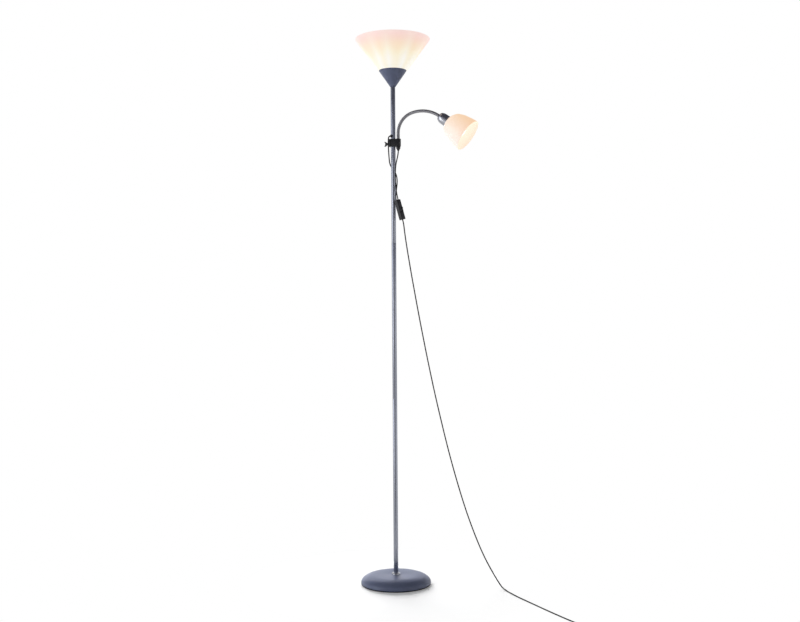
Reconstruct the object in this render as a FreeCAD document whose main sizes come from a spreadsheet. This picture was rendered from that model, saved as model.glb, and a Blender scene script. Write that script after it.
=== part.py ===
import FreeCAD, Part
import math
import operator
import os
import Sketcher

V = FreeCAD.Vector
os.makedirs("parts", exist_ok=True)
doc = FreeCAD.newDocument("torchiere")

# Driving sizes in millimetres and degrees. Z is measured up from the floor.
SIZES = {
    "base_radius": 114, "base_top": 31, "base_flat": 66, "cover_wall": 1.5,
    "pan_bottom": 3, "pan_wall": 1.2, "foot_radius": 108.5,
    "collar_radius": 14, "collar_height": 5,
    "pole_radius": 7.5, "pole_wall": 1, "first_seam": 602, "second_seam": 1112,
    "pole_top": 1621, "thread_radius": 5, "wire_bore": 2.3, "thread_play": 0.05,
    "grommet_drop": 160, "grommet_bearing": 223.8,
    "cup_height": 54, "cup_foot": 8, "cup_rim": 45.4, "cup_wall": 1.9,
    "seat_rise": 43, "ledge_rise": 11.3, "shade_rise": 113,
    "shade_foot": 47.3, "shade_rim": 122, "shade_wall": 2,
    "globe_radius": 30, "small_globe": 22.5,
    "arm_bearing": -20, "arm_offset": 17.7, "clamp_drop": 34.4, "clamp_height": 24.2,
    "clamp_half": 11.5, "clamp_left": 14.3, "boss_radius": 8.5, "liner_radius": 8.7, "running_play": 0.06,
    "neck_radius": 5.15, "neck_bore": 2.3, "neck_rise": 43.4, "rise_radius": 65,
    "fall_radius": 110, "rise_turn": 25, "fall_turn": 12.75, "ball_radius": 4,
    "ball_play": 0.1, "lip": 1, "link_gap": 0.9,
    "head_cup_radius": 17.9, "head_cup_length": 35,
    "bell_rim": 53.3, "bell_length": 82,
    "switch_length": 66, "switch_depth": 16, "switch_width": 18, "switch_tilt": 15,
    "cord_radius": 2, "plug_thickness": 13.7, "plug_tail": 8, "pin_radius": 2, "pin_length": 19,
    "pin_spacing": 18.6,
}
sheet = doc.addObject("Spreadsheet::Sheet", "sizes")
for row, (alias, number) in enumerate(SIZES.items(), start=1):
    sheet.set("A%d" % row, alias)
    sheet.set("B%d" % row, str(number))
    sheet.setAlias("B%d" % row, alias)
doc.recompute()


ARITHMETIC = {"+": operator.add, "-": operator.sub, "*": operator.mul, "/": operator.truediv}


class Size:
    """A number that remembers how the sheet gives it, so that it can drive a feature."""

    def __init__(self, value, text):
        self.value, self.text = float(value), text

    def _join(self, sign, other, swap=False):
        left, right = (size(other), self) if swap else (self, size(other))
        value = ARITHMETIC[sign](left.value, right.value)
        return Size(value, "(%s %s %s)" % (left.text, sign, right.text))

    def __add__(self, other):
        return self._join("+", other)

    def __radd__(self, other):
        return self._join("+", other, True)

    def __sub__(self, other):
        return self._join("-", other)

    def __rsub__(self, other):
        return self._join("-", other, True)

    def __mul__(self, other):
        return self._join("*", other)

    def __rmul__(self, other):
        return self._join("*", other, True)

    def __truediv__(self, other):
        return self._join("/", other)

    def __neg__(self):
        return 0 - self


def size(number):
    return number if isinstance(number, Size) else Size(number, repr(float(number)))


class Sheet:
    """Sizes by name: s.pole_radius is the sheet's value and its cell."""

    def __getattr__(self, name):
        return Size(sheet.get(name), "sizes." + name)


s = Sheet()


def bind(obj, prop, number):
    """Set a property, and let the sheet drive it where the number comes from the sheet."""
    number = size(number)
    if "." not in prop:
        setattr(obj, prop, number.value)
    if "sizes." in number.text:
        obj.setExpression(prop, number.text)


def place(obj, x=0, y=0, z=0, turn=None):
    """Put an object somewhere; the sheet drives the coordinates that come from it."""
    at = [size(c) for c in (x, y, z)]
    obj.Placement = FreeCAD.Placement(V(*[c.value for c in at]), turn or FreeCAD.Rotation())
    for name, c in zip("xyz", at):
        if "sizes." in c.text:
            obj.setExpression("Placement.Base." + name, c.text)
    return obj


def fix_point(sketch, geometry, end, x, y):
    """Tie one point of a sketch to the sheet, measured from the sketch's origin."""
    for kind, c, axis in (("DistanceX", x, -2), ("DistanceY", y, -1)):
        if abs(c.value) < 1e-9:
            sketch.addConstraint(Sketcher.Constraint("PointOnObject", geometry, end, axis))
            continue
        ends = (-1, 1, geometry, end) if c.value > 0 else (geometry, end, -1, 1)
        c = c if c.value > 0 else -c
        k = sketch.addConstraint(Sketcher.Constraint(kind, *ends, c.value))
        if "sizes." in c.text:
            sketch.setExpression("Constraints[%d]" % k, c.text)


def draw_circle(sketch, x, y, radius):
    x, y, radius = size(x), size(y), size(radius)
    g = sketch.addGeometry(Part.Circle(V(x.value, y.value, 0), V(0, 0, 1), radius.value), False)
    k = sketch.addConstraint(Sketcher.Constraint("Radius", g, radius.value))
    if "sizes." in radius.text:
        sketch.setExpression("Constraints[%d]" % k, radius.text)
    fix_point(sketch, g, 3, x, y)


def draw(sketch, outline):
    """Draw a closed outline. A point's third number is the radius of the arc to the next point,
    positive where the arc turns left."""
    points = [(size(p[0]), size(p[1]), p[2] if len(p) > 2 else 0) for p in outline]
    ends = []
    for (ax, ay, bend), (bx, by, _) in zip(points, points[1:] + points[:1]):
        a, b = V(ax.value, ay.value, 0), V(bx.value, by.value, 0)
        if not bend:
            ends.append((sketch.addGeometry(Part.LineSegment(a, b), False), 1, 2))
            continue
        if bend < 0:
            a, b = b, a
        half, radius = (b - a).Length / 2, abs(bend)
        left = V(a.y - b.y, b.x - a.x, 0) / (2 * half)
        centre = (a + b) / 2 + left * math.sqrt(max(radius**2 - half**2, 0))
        start, stop = [math.atan2(p.y - centre.y, p.x - centre.x) for p in (a, b)]
        arc = Part.ArcOfCircle(Part.Circle(centre, V(0, 0, 1), radius), start, stop)
        ends.append((sketch.addGeometry(arc, False),) + ((1, 2) if bend > 0 else (2, 1)))
    for n, (g, first, last) in enumerate(ends):
        after = ends[(n + 1) % len(ends)]
        sketch.addConstraint(Sketcher.Constraint("Coincident", g, last, after[0], after[1]))
        fix_point(sketch, g, first, points[n][0], points[n][1])
        bend, chord = abs(points[n][2]), V(*[c.value for c in points[n][:2]], 0)
        after = points[(n + 1) % len(points)]
        chord = (V(after[0].value, after[1].value, 0) - chord).Length
        if bend and chord < 1.99 * bend:
            sketch.addConstraint(Sketcher.Constraint("Radius", g, bend))


def new_body(name, plane, outline, holes=()):
    body = doc.addObject("PartDesign::Body", name)
    sketch = body.newObject("Sketcher::SketchObject", name + "_outline")
    sketch.AttachmentSupport = [([f for f in body.Origin.OriginFeatures if f.Role == plane][0], "")]
    sketch.MapMode = "FlatFace"
    draw(sketch, outline)
    for hole in holes:
        draw_circle(sketch, *hole)
    return body, sketch


def turned(name, outline, z=0):
    """A piece turned about Z. The outline is radius and height above z."""
    body, sketch = new_body(name, "XZ_Plane", outline)
    spin = body.newObject("PartDesign::Revolution", name + "_turned")
    spin.Profile = sketch
    spin.ReferenceAxis = (sketch, ["V_Axis"])
    spin.Angle = 360
    body.Tip = spin
    return place(body, z=z)


def prism(name, outline, height, z=0, holes=()):
    """A piece of one outline, raised along Z. Each hole is x, y and radius."""
    body, sketch = new_body(name, "XY_Plane", outline, holes)
    pad = body.newObject("PartDesign::Pad", name + "_raised")
    pad.Profile = sketch
    bind(pad, "Length", height)
    body.Tip = pad
    return place(body, z=z)


def tube(name, outer, inner, height, z=0):
    return turned(name, [(inner, 0), (outer, 0), (outer, height), (inner, height)], z)


def rod(name, radius, height, z=0, x=0, y=0, turn=None):
    cylinder = doc.addObject("Part::Cylinder", name)
    bind(cylinder, "Radius", radius)
    bind(cylinder, "Height", height)
    return place(cylinder, x, y, z, turn)


def ball(name, radius, at, turn=None):
    sphere = doc.addObject("Part::Sphere", name)
    bind(sphere, "Radius", radius)
    sphere.Placement = FreeCAD.Placement(at, turn or FreeCAD.Rotation())
    return sphere


def box(name, low, high):
    block = doc.addObject("Part::Box", name)
    for prop, a, b in zip(("Length", "Width", "Height"), low, high):
        bind(block, prop, size(b) - a)
    return place(block, *low)


def join(name, pieces, kind="Part::MultiFuse"):
    fused = doc.addObject(kind, name)
    fused.Shapes = pieces
    return fused


def gather(name, pieces):
    """Like pieces that stay separate solids under one name."""
    group = doc.addObject("Part::Compound", name)
    group.Links = pieces
    return group


def cut(name, base, tools):
    """The base with every tool taken away."""
    for n, tool in enumerate(tools):
        result = doc.addObject("Part::Cut", name if n == len(tools) - 1 else "%s_cut%d" % (name, n))
        result.Base, result.Tool = base, tool
        base = result
    return base


def hexagon(across_flats):
    corner = across_flats / math.sqrt(3)
    turns = [math.radians(60 * n) for n in range(6)]
    return [(corner * math.cos(t), corner * math.sin(t)) for t in turns]


def rounded(half_x, half_y, corner):
    """A rounded rectangle about the origin."""
    x, y, c = size(half_x), size(half_y), corner
    return [
        (x - c, -y, c), (x, c - y), (x, y - c, c), (x - c, y),
        (c - x, y, c), (-x, y - c), (-x, c - y, c), (c - x, -y),
    ]


nodes = {}


def keep(node, obj, at=None):
    """Name a finished piece, and move it as a whole where it was made about its own axis."""
    obj.Label = node
    if at is not None:
        for axis in "xyz":
            obj.setExpression("Placement.Base." + axis, None)
        obj.Placement = at.multiply(obj.Placement)
    nodes[node] = obj
    return obj


# --- Base: rubber ring, steel pan, cast weight, pressed cover, collar and its fixings ---
pan_top = s.pan_bottom + s.pan_wall
foot = [(s.foot_radius - 9, 0), (s.foot_radius - 1, 0, 1), (s.foot_radius, 1),
        (s.foot_radius, s.pan_bottom), (s.foot_radius - 9, s.pan_bottom)]
keep("foot_ring", turned("foot_ring", foot))
keep("base_pan", tube("base_pan", s.base_radius - 3.5, 22, s.pan_wall, s.pan_bottom))

lean = s.base_radius - s.base_flat
drop = s.base_top - 5.5
cover = [
    (5.4, s.base_top), (5.4, s.base_top - s.cover_wall), (s.base_flat, s.base_top - s.cover_wall, -82.5),
    (s.base_flat + lean * 0.484, s.base_top - drop * 0.185, -44.5),
    (s.base_flat + lean * 0.839, s.base_top - drop * 0.529, -16.5),
    (s.base_radius - s.cover_wall, 5.5), (s.base_radius - s.cover_wall, 3.2),
    (s.base_radius - 0.4, 3.2), (s.base_radius, 5.5, 18),
    (s.base_flat + lean * 0.866, 5.5 + drop * 0.5, 46),
    (s.base_flat + lean * 0.5, 5.5 + drop * 0.866, 84),
    (s.base_flat, s.base_top),
]
keep("base_cover", turned("base_cover", cover))
weight_top = s.base_top - s.cover_wall - 0.3
weight = [
    (22, pan_top), (s.base_radius - 2.6, pan_top), (s.base_flat + lean * 0.812, s.base_top - drop * 0.549),
    (s.base_flat + lean * 0.465, s.base_top - drop * 0.208), (s.base_flat, weight_top),
    (6, weight_top), (6, 14), (22, 14),
]
keep("base_weight", turned("base_weight", weight))
keep("base_washer", tube("base_washer", 18, 5.3, 1.8, 12.2))
thread_bore = s.thread_radius + s.thread_play
keep("base_nut", prism("base_nut", hexagon(17), 6, 6.2, [(0, 0, thread_bore)]))
keep("base_stud", tube("base_stud", s.thread_radius, s.wire_bore, 44, 7))
play = s.pole_radius + s.thread_play
collar = [(play, 0), (s.collar_radius, 0), (s.collar_radius, 2.5, 4),
          (s.collar_radius - 3, s.collar_height), (play, s.collar_height)]
keep("base_collar", turned("base_collar", collar, s.base_top))

# --- Pole: three tubes, each seam an insert in the upper tube and a screwed plug in the lower ---
bore = s.pole_radius - s.pole_wall
plug_radius = bore - s.thread_play
seams = [s.base_top, s.first_seam, s.second_seam, s.pole_top]
for n in (1, 2):
    keep("pole_section_%d" % n,
         tube("pole_section_%d" % n, s.pole_radius, bore, seams[n] - seams[n - 1], seams[n - 1]))
INSERT = 24
insert_feet = [seam + 0.3 for seam in seams[:3]] + [s.pole_top - INSERT]
inserts = [tube("pole_insert_%d" % n, plug_radius, thread_bore, INSERT, z)
           for n, z in enumerate(insert_feet)]
keep("pole_inserts", gather("pole_inserts", inserts))
plug = [
    (s.wire_bore, 0), (plug_radius, 0), (plug_radius, 25), (s.thread_radius, 25),
    (s.thread_radius, 45), (s.wire_bore, 45),
]
joiners = [turned("pole_joiner_%d" % n, plug, seams[n] - 25) for n in (1, 2)]
keep("pole_joiners", gather("pole_joiners", joiners))

# The upper cord leaves the top tube through a grommet at the front left.
bearing = math.radians(s.grommet_bearing.value)
grommet_height = s.pole_top - s.grommet_drop
outward = V(math.cos(bearing), math.sin(bearing), 0)
sideways = FreeCAD.Rotation(V(0, 0, 1), outward)
top_tube = tube("pole_top_tube", s.pole_radius, bore, seams[3] - seams[2], seams[2])
wire_hole = rod("wire_hole", 3, 12, grommet_height, turn=sideways)
keep("pole_section_3", cut("pole_section_3", top_tube, [wire_hole]))
cord_hole = s.cord_radius + s.thread_play
flange = turned("grommet_flange", [(cord_hole, 5.4), (4.7, 5.4), (4.7, 9, 1.2), (3.6, 10.1), (cord_hole, 10.1)])
place(flange, z=grommet_height, turn=sideways)
saddle = cut("grommet_saddle", flange, [rod("pole_space", s.pole_radius + 0.02, 30, grommet_height - 15)])
barrel = turned("grommet_barrel", [(cord_hole, 5.2), (2.95, 5.2), (2.95, 9), (cord_hole, 9)])
place(barrel, z=grommet_height, turn=sideways)
keep("pole_grommet", join("pole_grommet", [saddle, barrel]))
keep("upper_lead", rod("upper_lead", s.cord_radius, s.grommet_drop + 26, grommet_height + 4))

# --- Uplight: cup, its nipple and nut, lamp holder, opal shade, shade ring and bulb ---
shade_seat = s.pole_top + s.seat_rise
keep("top_nipple", tube("top_nipple", s.thread_radius, s.wire_bore, 38, s.pole_top - 20))
slope = (s.cup_rim - s.cup_foot) / s.cup_height
cup = [
    (5.3, 0), (s.cup_foot, 0), (s.cup_rim, s.cup_height), (s.cup_rim - s.cup_wall, s.cup_height),
    (s.cup_foot - s.cup_wall + slope * 6, 6), (5.3, 6),
]
keep("uplight_cup", turned("uplight_cup", cup, s.pole_top))
keep("cup_nut", prism("cup_nut", hexagon(15), 5, s.pole_top + 6, [(0, 0, thread_bore)]))
cap = [
    (thread_bore, 0), (10.5, 0), (12, 2), (19.5, 15), (19.5, 18), (16.5, 18), (16.5, 16),
    (9, 7), (thread_bore, 5),
]
keep("upper_holder_cap", turned("upper_holder_cap", cap, shade_seat - 32))
holder = [
    (3.5, 4), (16.5, 4), (16.5, 0), (19.5, 0), (19.5, 9), (23, 11.5), (23, 14), (20, 14),
    (20, 38), (15.2, 38), (15.2, 8), (3.5, 8),
]
keep("upper_holder_body", turned("upper_holder_body", holder, shade_seat - 14))
keep("upper_thread_sleeve", tube("upper_thread_sleeve", 15.1, 13.6, 28, shade_seat - 6))
contact = [(0, 0), (3.4, 0), (3.4, 3), (5.5, 3), (5.5, 4), (2, 6), (0, 6)]
keep("upper_contact", turned("upper_contact", contact, shade_seat - 9))
bulb_cap = [
    (0, 0), (4.5, 0), (5, 2), (11, 4.5), (13.2, 7), (13.2, 27), (12.7, 27), (12.7, 7.4),
    (10.6, 5.6), (0, 3),
]
keep("upper_bulb_cap", turned("upper_bulb_cap", bulb_cap, shade_seat - 3))


def bulb_outline(radius, neck, length, wall=0.8):
    """A thin glass envelope: a straight neck, open at the foot, that widens into a globe."""
    centre, inner = length - radius, radius - wall
    down = centre.value - 7
    reach = math.hypot(neck.value, down)
    touch = math.acos(radius.value / reach) - math.atan2(down, neck.value)
    across, drop = math.cos(touch), -math.sin(touch)
    return [
        (neck, 0), (neck, 7), (radius * across, centre - radius * drop, radius.value),
        (0, length), (0, length - wall, -inner.value),
        (inner * across, centre - inner * drop), (neck - wall, 7.3), (neck - wall, 0),
    ]


globe = bulb_outline(s.globe_radius, size(12.6), size(86))
keep("upper_bulb_glass", turned("upper_bulb_glass", globe, shade_seat + 21))

rise, ledge = s.shade_rise, s.ledge_rise
cone = (s.shade_rim - s.shade_foot) / (rise - ledge)
thick = s.shade_wall * 1.24
upper_shade = [
    (20.4, 0), (35.3, 0), (42.8, ledge), (s.shade_foot, ledge), (s.shade_rim, rise),
    (s.shade_rim - thick, rise), (s.shade_foot - thick + cone * s.shade_wall, ledge + s.shade_wall),
    (41.5, ledge + s.shade_wall), (34.1, s.shade_wall), (20.4, s.shade_wall),
]
keep("upper_shade", turned("upper_shade", upper_shade, shade_seat))
ring = [(20.05, 0), (24.5, 0), (24.5, 2), (23, 6), (20.05, 6)]
keep("upper_shade_ring", turned("upper_shade_ring", ring, shade_seat + s.shade_wall))

# --- Clamp: a block that slides and turns on the pole, with a wing screw and the arm's foot ---
arm_angle = math.radians(s.arm_bearing.value)
along = V(math.cos(arm_angle), math.sin(arm_angle), 0)
facing = V(math.sin(arm_angle), -math.cos(arm_angle), 0)
clamp_bottom = grommet_height - s.clamp_drop
clamp_turn = FreeCAD.Rotation(V(0, 0, 1), s.arm_bearing.value)
in_clamp = FreeCAD.Placement(V(0, 0, 0), clamp_turn)

keep("clamp_liner", tube("clamp_liner", s.liner_radius, s.pole_radius + s.running_play,
                         s.clamp_height - 1, clamp_bottom + 0.5))
h, left, far = s.clamp_half, -s.clamp_left, s.arm_offset
boss_x, boss_y = far + 2.2, s.boss_radius - 0.29
block = [
    (left + 5, -h), (6, -h), (boss_x, -boss_y, s.boss_radius.value), (boss_x, boss_y), (6, h),
    (left + 5, h, 5), (left, h - 5), (left, 5 - h, 5),
]
holes = [(0, 0, s.liner_radius + s.running_play), (far, 0, s.neck_radius + s.thread_play)]
screw_height = clamp_bottom + s.clamp_height * 0.4
to_left = FreeCAD.Rotation(V(0, 0, 1), V(-1, 0, 0))
insert_hole = rod("insert_hole", 4, 7, screw_height, x=-8, turn=to_left)
whole_block = prism("clamp_blank", block, s.clamp_height, clamp_bottom, holes)
keep("clamp_block", cut("clamp_block", whole_block, [insert_hole]), in_clamp)
insert = tube("clamp_insert", 3.96, 2.55, 5, 0)
keep("clamp_insert", place(insert, x=-9.3, z=screw_height, turn=to_left), in_clamp)
shank = rod("thumb_shank", 2.5, 12.2, screw_height, x=-8.8, turn=to_left)
keep("thumb_shank", shank, in_clamp)
neck = turned("wing_neck", [(2.52, 0), (4.2, 0), (4.2, 4.5), (3.6, 8), (0, 8), (0, 6.6), (2.52, 6.6)])
place(neck, x=left - 0.3, z=screw_height, turn=to_left)
wing = [
    (-3.4, 0), (3.4, 0), (5.2, 3.5, 10), (8, 8.6, 1.4), (6.4, 10.3), (2.6, 7, 4), (-2.6, 7),
    (-6.4, 10.3, 1.4), (-8, 8.6, 10), (-5.2, 3.5),
]
wings = prism("wing_blades", wing, 4.2)
wings.Placement = FreeCAD.Placement(
    V(left.value - 5.5, 2.1, screw_height.value),
    FreeCAD.Rotation(V(0, 0, 1), V(-1, 0, 0), V(0, -1, 0), "XYZ"))
wing_clear = rod("wing_clear", 2.52, 2, screw_height, x=left - 4.9, turn=to_left)
keep("thumb_wings", cut("thumb_wings", join("wing_whole", [neck, wings]), [wing_clear]), in_clamp)
gland = [
    (cord_hole, 0), (3.1, 0), (4.8, 4.6), (6.85, 7), (6.85, 14.1), (s.neck_radius, 14.1),
    (s.neck_radius, 24), (cord_hole, 24),
]
gland_body = turned("arm_gland", gland)
keep("arm_gland", place(gland_body, x=far, z=clamp_bottom - 14.1), in_clamp)

# --- Gooseneck: links with a ball at the foot and a socket at the tip, bored for the lead ---
in_arm = FreeCAD.Placement(V(0, 0, 0), FreeCAD.Rotation(along, V(0, 0, 1), facing, "XYZ"))
neck_foot = clamp_bottom + s.neck_rise
offset, foot_z = s.arm_offset.value, neck_foot.value
rise_radius, fall_radius = s.rise_radius.value, s.fall_radius.value
rise_turn, fall_turn = s.rise_turn.value, s.fall_turn.value
RISE_LINKS, FALL_LINKS = 3, 4


def on_arc(centre, radius, heading):
    """The point of an arc where the neck heads this way, in the arm's upright plane."""
    t = math.radians(heading)
    return V(centre.x - radius * math.sin(t), centre.y + radius * math.cos(t), 0)


rise_centre = V(offset + rise_radius, foot_z, 0)
crest_heading = 90 - RISE_LINKS * rise_turn
crest = on_arc(rise_centre, rise_radius, crest_heading)
t = math.radians(crest_heading)
fall_centre = V(crest.x + fall_radius * math.sin(t), crest.y - fall_radius * math.cos(t), 0)
tip_heading = crest_heading - FALL_LINKS * fall_turn
tip = on_arc(fall_centre, fall_radius, tip_heading)
arcs = [(rise_centre, s.rise_radius, 90 - n * rise_turn, rise_turn) for n in range(RISE_LINKS)]
arcs += [(fall_centre, s.fall_radius, crest_heading - n * fall_turn, fall_turn) for n in range(FALL_LINKS)]


def bent_rod(name, centre, ring_radius, tube_radius, start, turn):
    """A round bar bent about a centre, from one heading to a lower one."""
    bar = doc.addObject("Part::Torus", name)
    bind(bar, "Radius1", ring_radius)
    bind(bar, "Radius2", tube_radius)
    bar.Angle3 = turn
    bar.Placement = FreeCAD.Placement(centre, FreeCAD.Rotation(V(0, 0, 1), start - turn + 90))
    return bar


def heading_turn(heading):
    t = math.radians(heading)
    return FreeCAD.Rotation(V(0, 0, 1), V(math.cos(t), math.sin(t), 0))


upright = heading_turn(90)
stem = rod("neck_stem", s.neck_radius, s.neck_rise + s.lip - 10.4)
stem.Placement = FreeCAD.Placement(V(offset, clamp_bottom.value + 10.4, 0), upright)
stem_bore = rod("neck_stem_bore", s.neck_bore, 60)
stem_bore.Placement = FreeCAD.Placement(V(offset, clamp_bottom.value, 0), upright)
socket = s.ball_radius + s.ball_play
stem_socket = ball("neck_stem_socket", socket, V(offset, foot_z, 0), upright)
keep("neck_link_1", cut("neck_link_1", stem, [stem_bore, stem_socket]), in_arm)
lead_runs = []
joint_points = []
for n, (centre, ring_radius, heading, turn) in enumerate(arcs, start=2):
    name, last = "neck_link_%d" % n, n == len(arcs) + 1
    degrees = math.degrees(1 / ring_radius.value)
    start = on_arc(centre, ring_radius.value, heading)
    end = on_arc(centre, ring_radius.value, heading - turn)
    joint_points.append(start)
    gap, lip = s.link_gap.value + s.lip.value, 0 if last else s.lip.value
    skin = bent_rod(name + "_skin", centre, ring_radius, s.neck_radius, heading - gap * degrees,
                    turn + (lip - gap) * degrees)
    hub = ball(name + "_ball", s.ball_radius, start, heading_turn(heading))
    spigot = rod(name + "_spigot", s.ball_radius - 0.8, s.lip + s.link_gap + 0.4)
    spigot.Placement = FreeCAD.Placement(start, heading_turn(heading))
    pieces = [skin, hub, spigot]
    before_end = end - heading_turn(tip_heading).multVec(V(0, 0, 1))
    if last:
        threaded = rod(name + "_tip", 4.5, 13)
        threaded.Placement = FreeCAD.Placement(before_end, heading_turn(tip_heading))
        pieces.append(threaded)
    hollow = bent_rod(name + "_bore", centre, ring_radius, s.neck_bore, heading + 6 * degrees,
                      turn + 7.5 * degrees)
    tools = [hollow]
    if last:
        tip_bore = rod(name + "_tip_bore", s.neck_bore + 0.3, 15)
        tip_bore.Placement = FreeCAD.Placement(before_end, heading_turn(tip_heading))
        tools.append(tip_bore)
    else:
        tools.append(ball(name + "_socket", socket, end, heading_turn(heading - turn)))
    keep(name, cut(name, join(name + "_whole", pieces), tools), in_arm)
    lead_runs.append(bent_rod(name + "_lead", centre, ring_radius, 1.4, heading, turn))

lead_foot = rod("lead_foot", 1.4, s.neck_rise - 11)
lead_foot.Placement = FreeCAD.Placement(V(offset, clamp_bottom.value + 11, 0), upright)
lead_end = rod("lead_end", 1.4, 15)
lead_end.Placement = FreeCAD.Placement(tip, heading_turn(tip_heading))
keep("arm_lead", join("arm_lead", [lead_foot] + lead_runs + [lead_end]), in_arm)

# --- Reading head, made about its own axis and set on the neck's tip ---
on_tip = in_arm.multiply(FreeCAD.Placement(tip, heading_turn(tip_heading)))
cup_end, cup_r = s.head_cup_length, s.head_cup_radius
head_cup = [
    (5.3, 0), (9.5, 0, 9), (cup_r - 2.8, 6, 24), (cup_r - 0.3, 17), (cup_r, cup_end),
    (cup_r - 1.2, cup_end), (cup_r - 1.5, 17, -22.8), (cup_r - 4, 6.9, -7.8), (9.3, 1.3), (5.3, 1.3),
]
keep("reading_cup", turned("reading_cup", head_cup), on_tip)
keep("reading_nut", prism("reading_nut", hexagon(13), 4.5, 1.3, [(0, 0, 4.55)]), on_tip)
head_holder = [
    (4.55, 6), (10.5, 6), (12, 8), (12, cup_end - 3), (16, cup_end - 1.8), (16, cup_end),
    (13, cup_end), (13, cup_end + 15), (8.4, cup_end + 15), (8.4, 22), (2.6, 22), (2.6, 18),
    (9, 18), (9, 12), (4.55, 12),
]
keep("reading_holder", turned("reading_holder", head_holder), on_tip)
keep("reading_thread_sleeve", tube("reading_thread_sleeve", 8.3, 7.4, 25, 22), on_tip)
head_contact = [(0, 0), (2.5, 0), (2.5, 3), (3.5, 3), (3.5, 4), (1.5, 5.5), (0, 5.5)]
keep("reading_contact", turned("reading_contact", head_contact, 19), on_tip)
small_cap = [
    (0, 0), (2.5, 0), (3, 1.5), (6, 3.5), (7, 5), (7, 25), (6.6, 25), (6.6, 5.4), (5.7, 4.4), (0, 2.5),
]
keep("reading_bulb_cap", turned("reading_bulb_cap", small_cap, 24.5), on_tip)
small = bulb_outline(s.small_globe, size(6.5), size(57))
keep("reading_bulb_glass", turned("reading_bulb_glass", small, 45.5), on_tip)
bell = [
    (13.1, cup_end), (18, cup_end, 40), (34.5, cup_end + 10.4, 26), (43.5, cup_end + 24.7, 70),
    (50, cup_end + 50, 160), (s.bell_rim, cup_end + s.bell_length),
    (s.bell_rim - 2, cup_end + s.bell_length, -158), (48, cup_end + 50.4, -68),
    (41.6, cup_end + 25.5, -24), (33.2, cup_end + 12, -38), (17.4, cup_end + 2), (13.1, cup_end + 2),
]
keep("reading_shade", turned("reading_shade", bell), on_tip)
small_ring = [(13.05, 0), (17, 0), (17, 1.6), (15.8, 5), (13.05, 5)]
keep("reading_shade_ring", turned("reading_shade_ring", small_ring, cup_end + 2), on_tip)

# --- In-line switch: two shell halves, two rockers and two screws, made about its own axis ---
tilt = math.radians(s.switch_tilt.value)
up = V(-math.sin(tilt), 0, math.cos(tilt))
face = V(math.cos(math.radians(40)), -math.sin(math.radians(40)), 0)
face = (face - up * face.dot(up)).normalize()
SWITCH_FOOT = V(28.9, -19.5, 1187)
in_switch = FreeCAD.Placement(SWITCH_FOOT, FreeCAD.Rotation(face, up.cross(face), up, "XYZ"))
half_d, half_w, length = s.switch_depth / 2, s.switch_width / 2, s.switch_length
ROCKER_Y, ENTRY = 3.6, 4.0
POSTS = ((5.0, 12), (-5.0, 54))
across = FreeCAD.Rotation(V(0, 0, 1), V(1, 0, 0))


def switch_half(name, low, high):
    """One half of the shell: a rounded case, hollowed, with two screw posts inside."""
    case = prism(name + "_case", rounded(half_d, half_w, 4), length)
    hollow = prism(name + "_hollow", rounded(half_d - 2.2, half_w - 2.2, 2), length - 6, 3)
    posts = [rod("%s_post%d" % (name, n), 2.3, half_d * 2 - 2, z, x=1 - half_d, y=y, turn=across)
             for n, (y, z) in enumerate(POSTS)]
    shell = join(name + "_shell", [cut(name + "_open", case, [hollow])] + posts)
    space = box(name + "_side", (low, -12, -1), (high, 12, length + 1))
    return join(name + "_part", [shell, space], "Part::MultiCommon")


entry_hole = s.cord_radius + 0.3
exit_hole = rod("switch_exit_hole", entry_hole, 5, -1)
windows = [
    box("rocker_window%d" % n, (2, side * ROCKER_Y - 3, length / 2 - 8.1),
        (9, side * ROCKER_Y + 3, length / 2 + 8.1))
    for n, side in enumerate((-1, 1))
]
pilots = [rod("screw_pilot%d" % n, 1.25, 12, z, x=-7, y=y, turn=across) for n, (y, z) in enumerate(POSTS)]
sinks = [rod("screw_sink%d" % n, 2.05, 2.6, z, x=-9, y=y, turn=across) for n, (y, z) in enumerate(POSTS)]
front_entry = rod("front_entry", entry_hole, 5, length - 4, x=ENTRY)
back_entry = rod("back_entry", entry_hole, 5, length - 4, x=-ENTRY)
keep("switch_front", cut("switch_front", switch_half("front", 0.0, 10.0),
                         [exit_hole, front_entry] + windows + pilots), in_switch)
keep("switch_back", cut("switch_back", switch_half("back", -10.0, -0.02),
                        [exit_hole, back_entry] + pilots + sinks), in_switch)
screws = []
for n, (y, z) in enumerate(POSTS):
    head = rod("screw_head%d" % n, 1.95, 1.4, z, x=-7.8, y=y, turn=across)
    stem = rod("screw_stem%d" % n, 1.2, 9, z, x=-6.5, y=y, turn=across)
    screws.append(join("screw%d" % n, [head, stem]))
keep("switch_screws", gather("switch_screws", screws), in_switch)
rocker_outline = [
    (-7.5, 0.5), (-4, -2.4), (4, -2.4), (7.5, 0.5), (7.3, 4.2), (0, 3.2), (-7.3, 4.2),
]
ROCKER_REST = 7
for n, side in enumerate((-1, 1), start=1):
    rocker = prism("rocker_%d" % n, rocker_outline, 5.4)
    turn = FreeCAD.Rotation(V(0, 0, 1), V(1, 0, 0), V(0, 1, 0), "XYZ")
    swing = FreeCAD.Rotation(V(0, 1, 0), ROCKER_REST * side)
    centre = V(half_d.value - 2.5, side * ROCKER_Y, length.value / 2)
    frame = FreeCAD.Placement(centre, swing).multiply(FreeCAD.Placement(V(0, -2.7, 0), turn))
    rocker.Placement = frame
    keep("rocker_%d" % n, rocker, in_switch)

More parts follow.
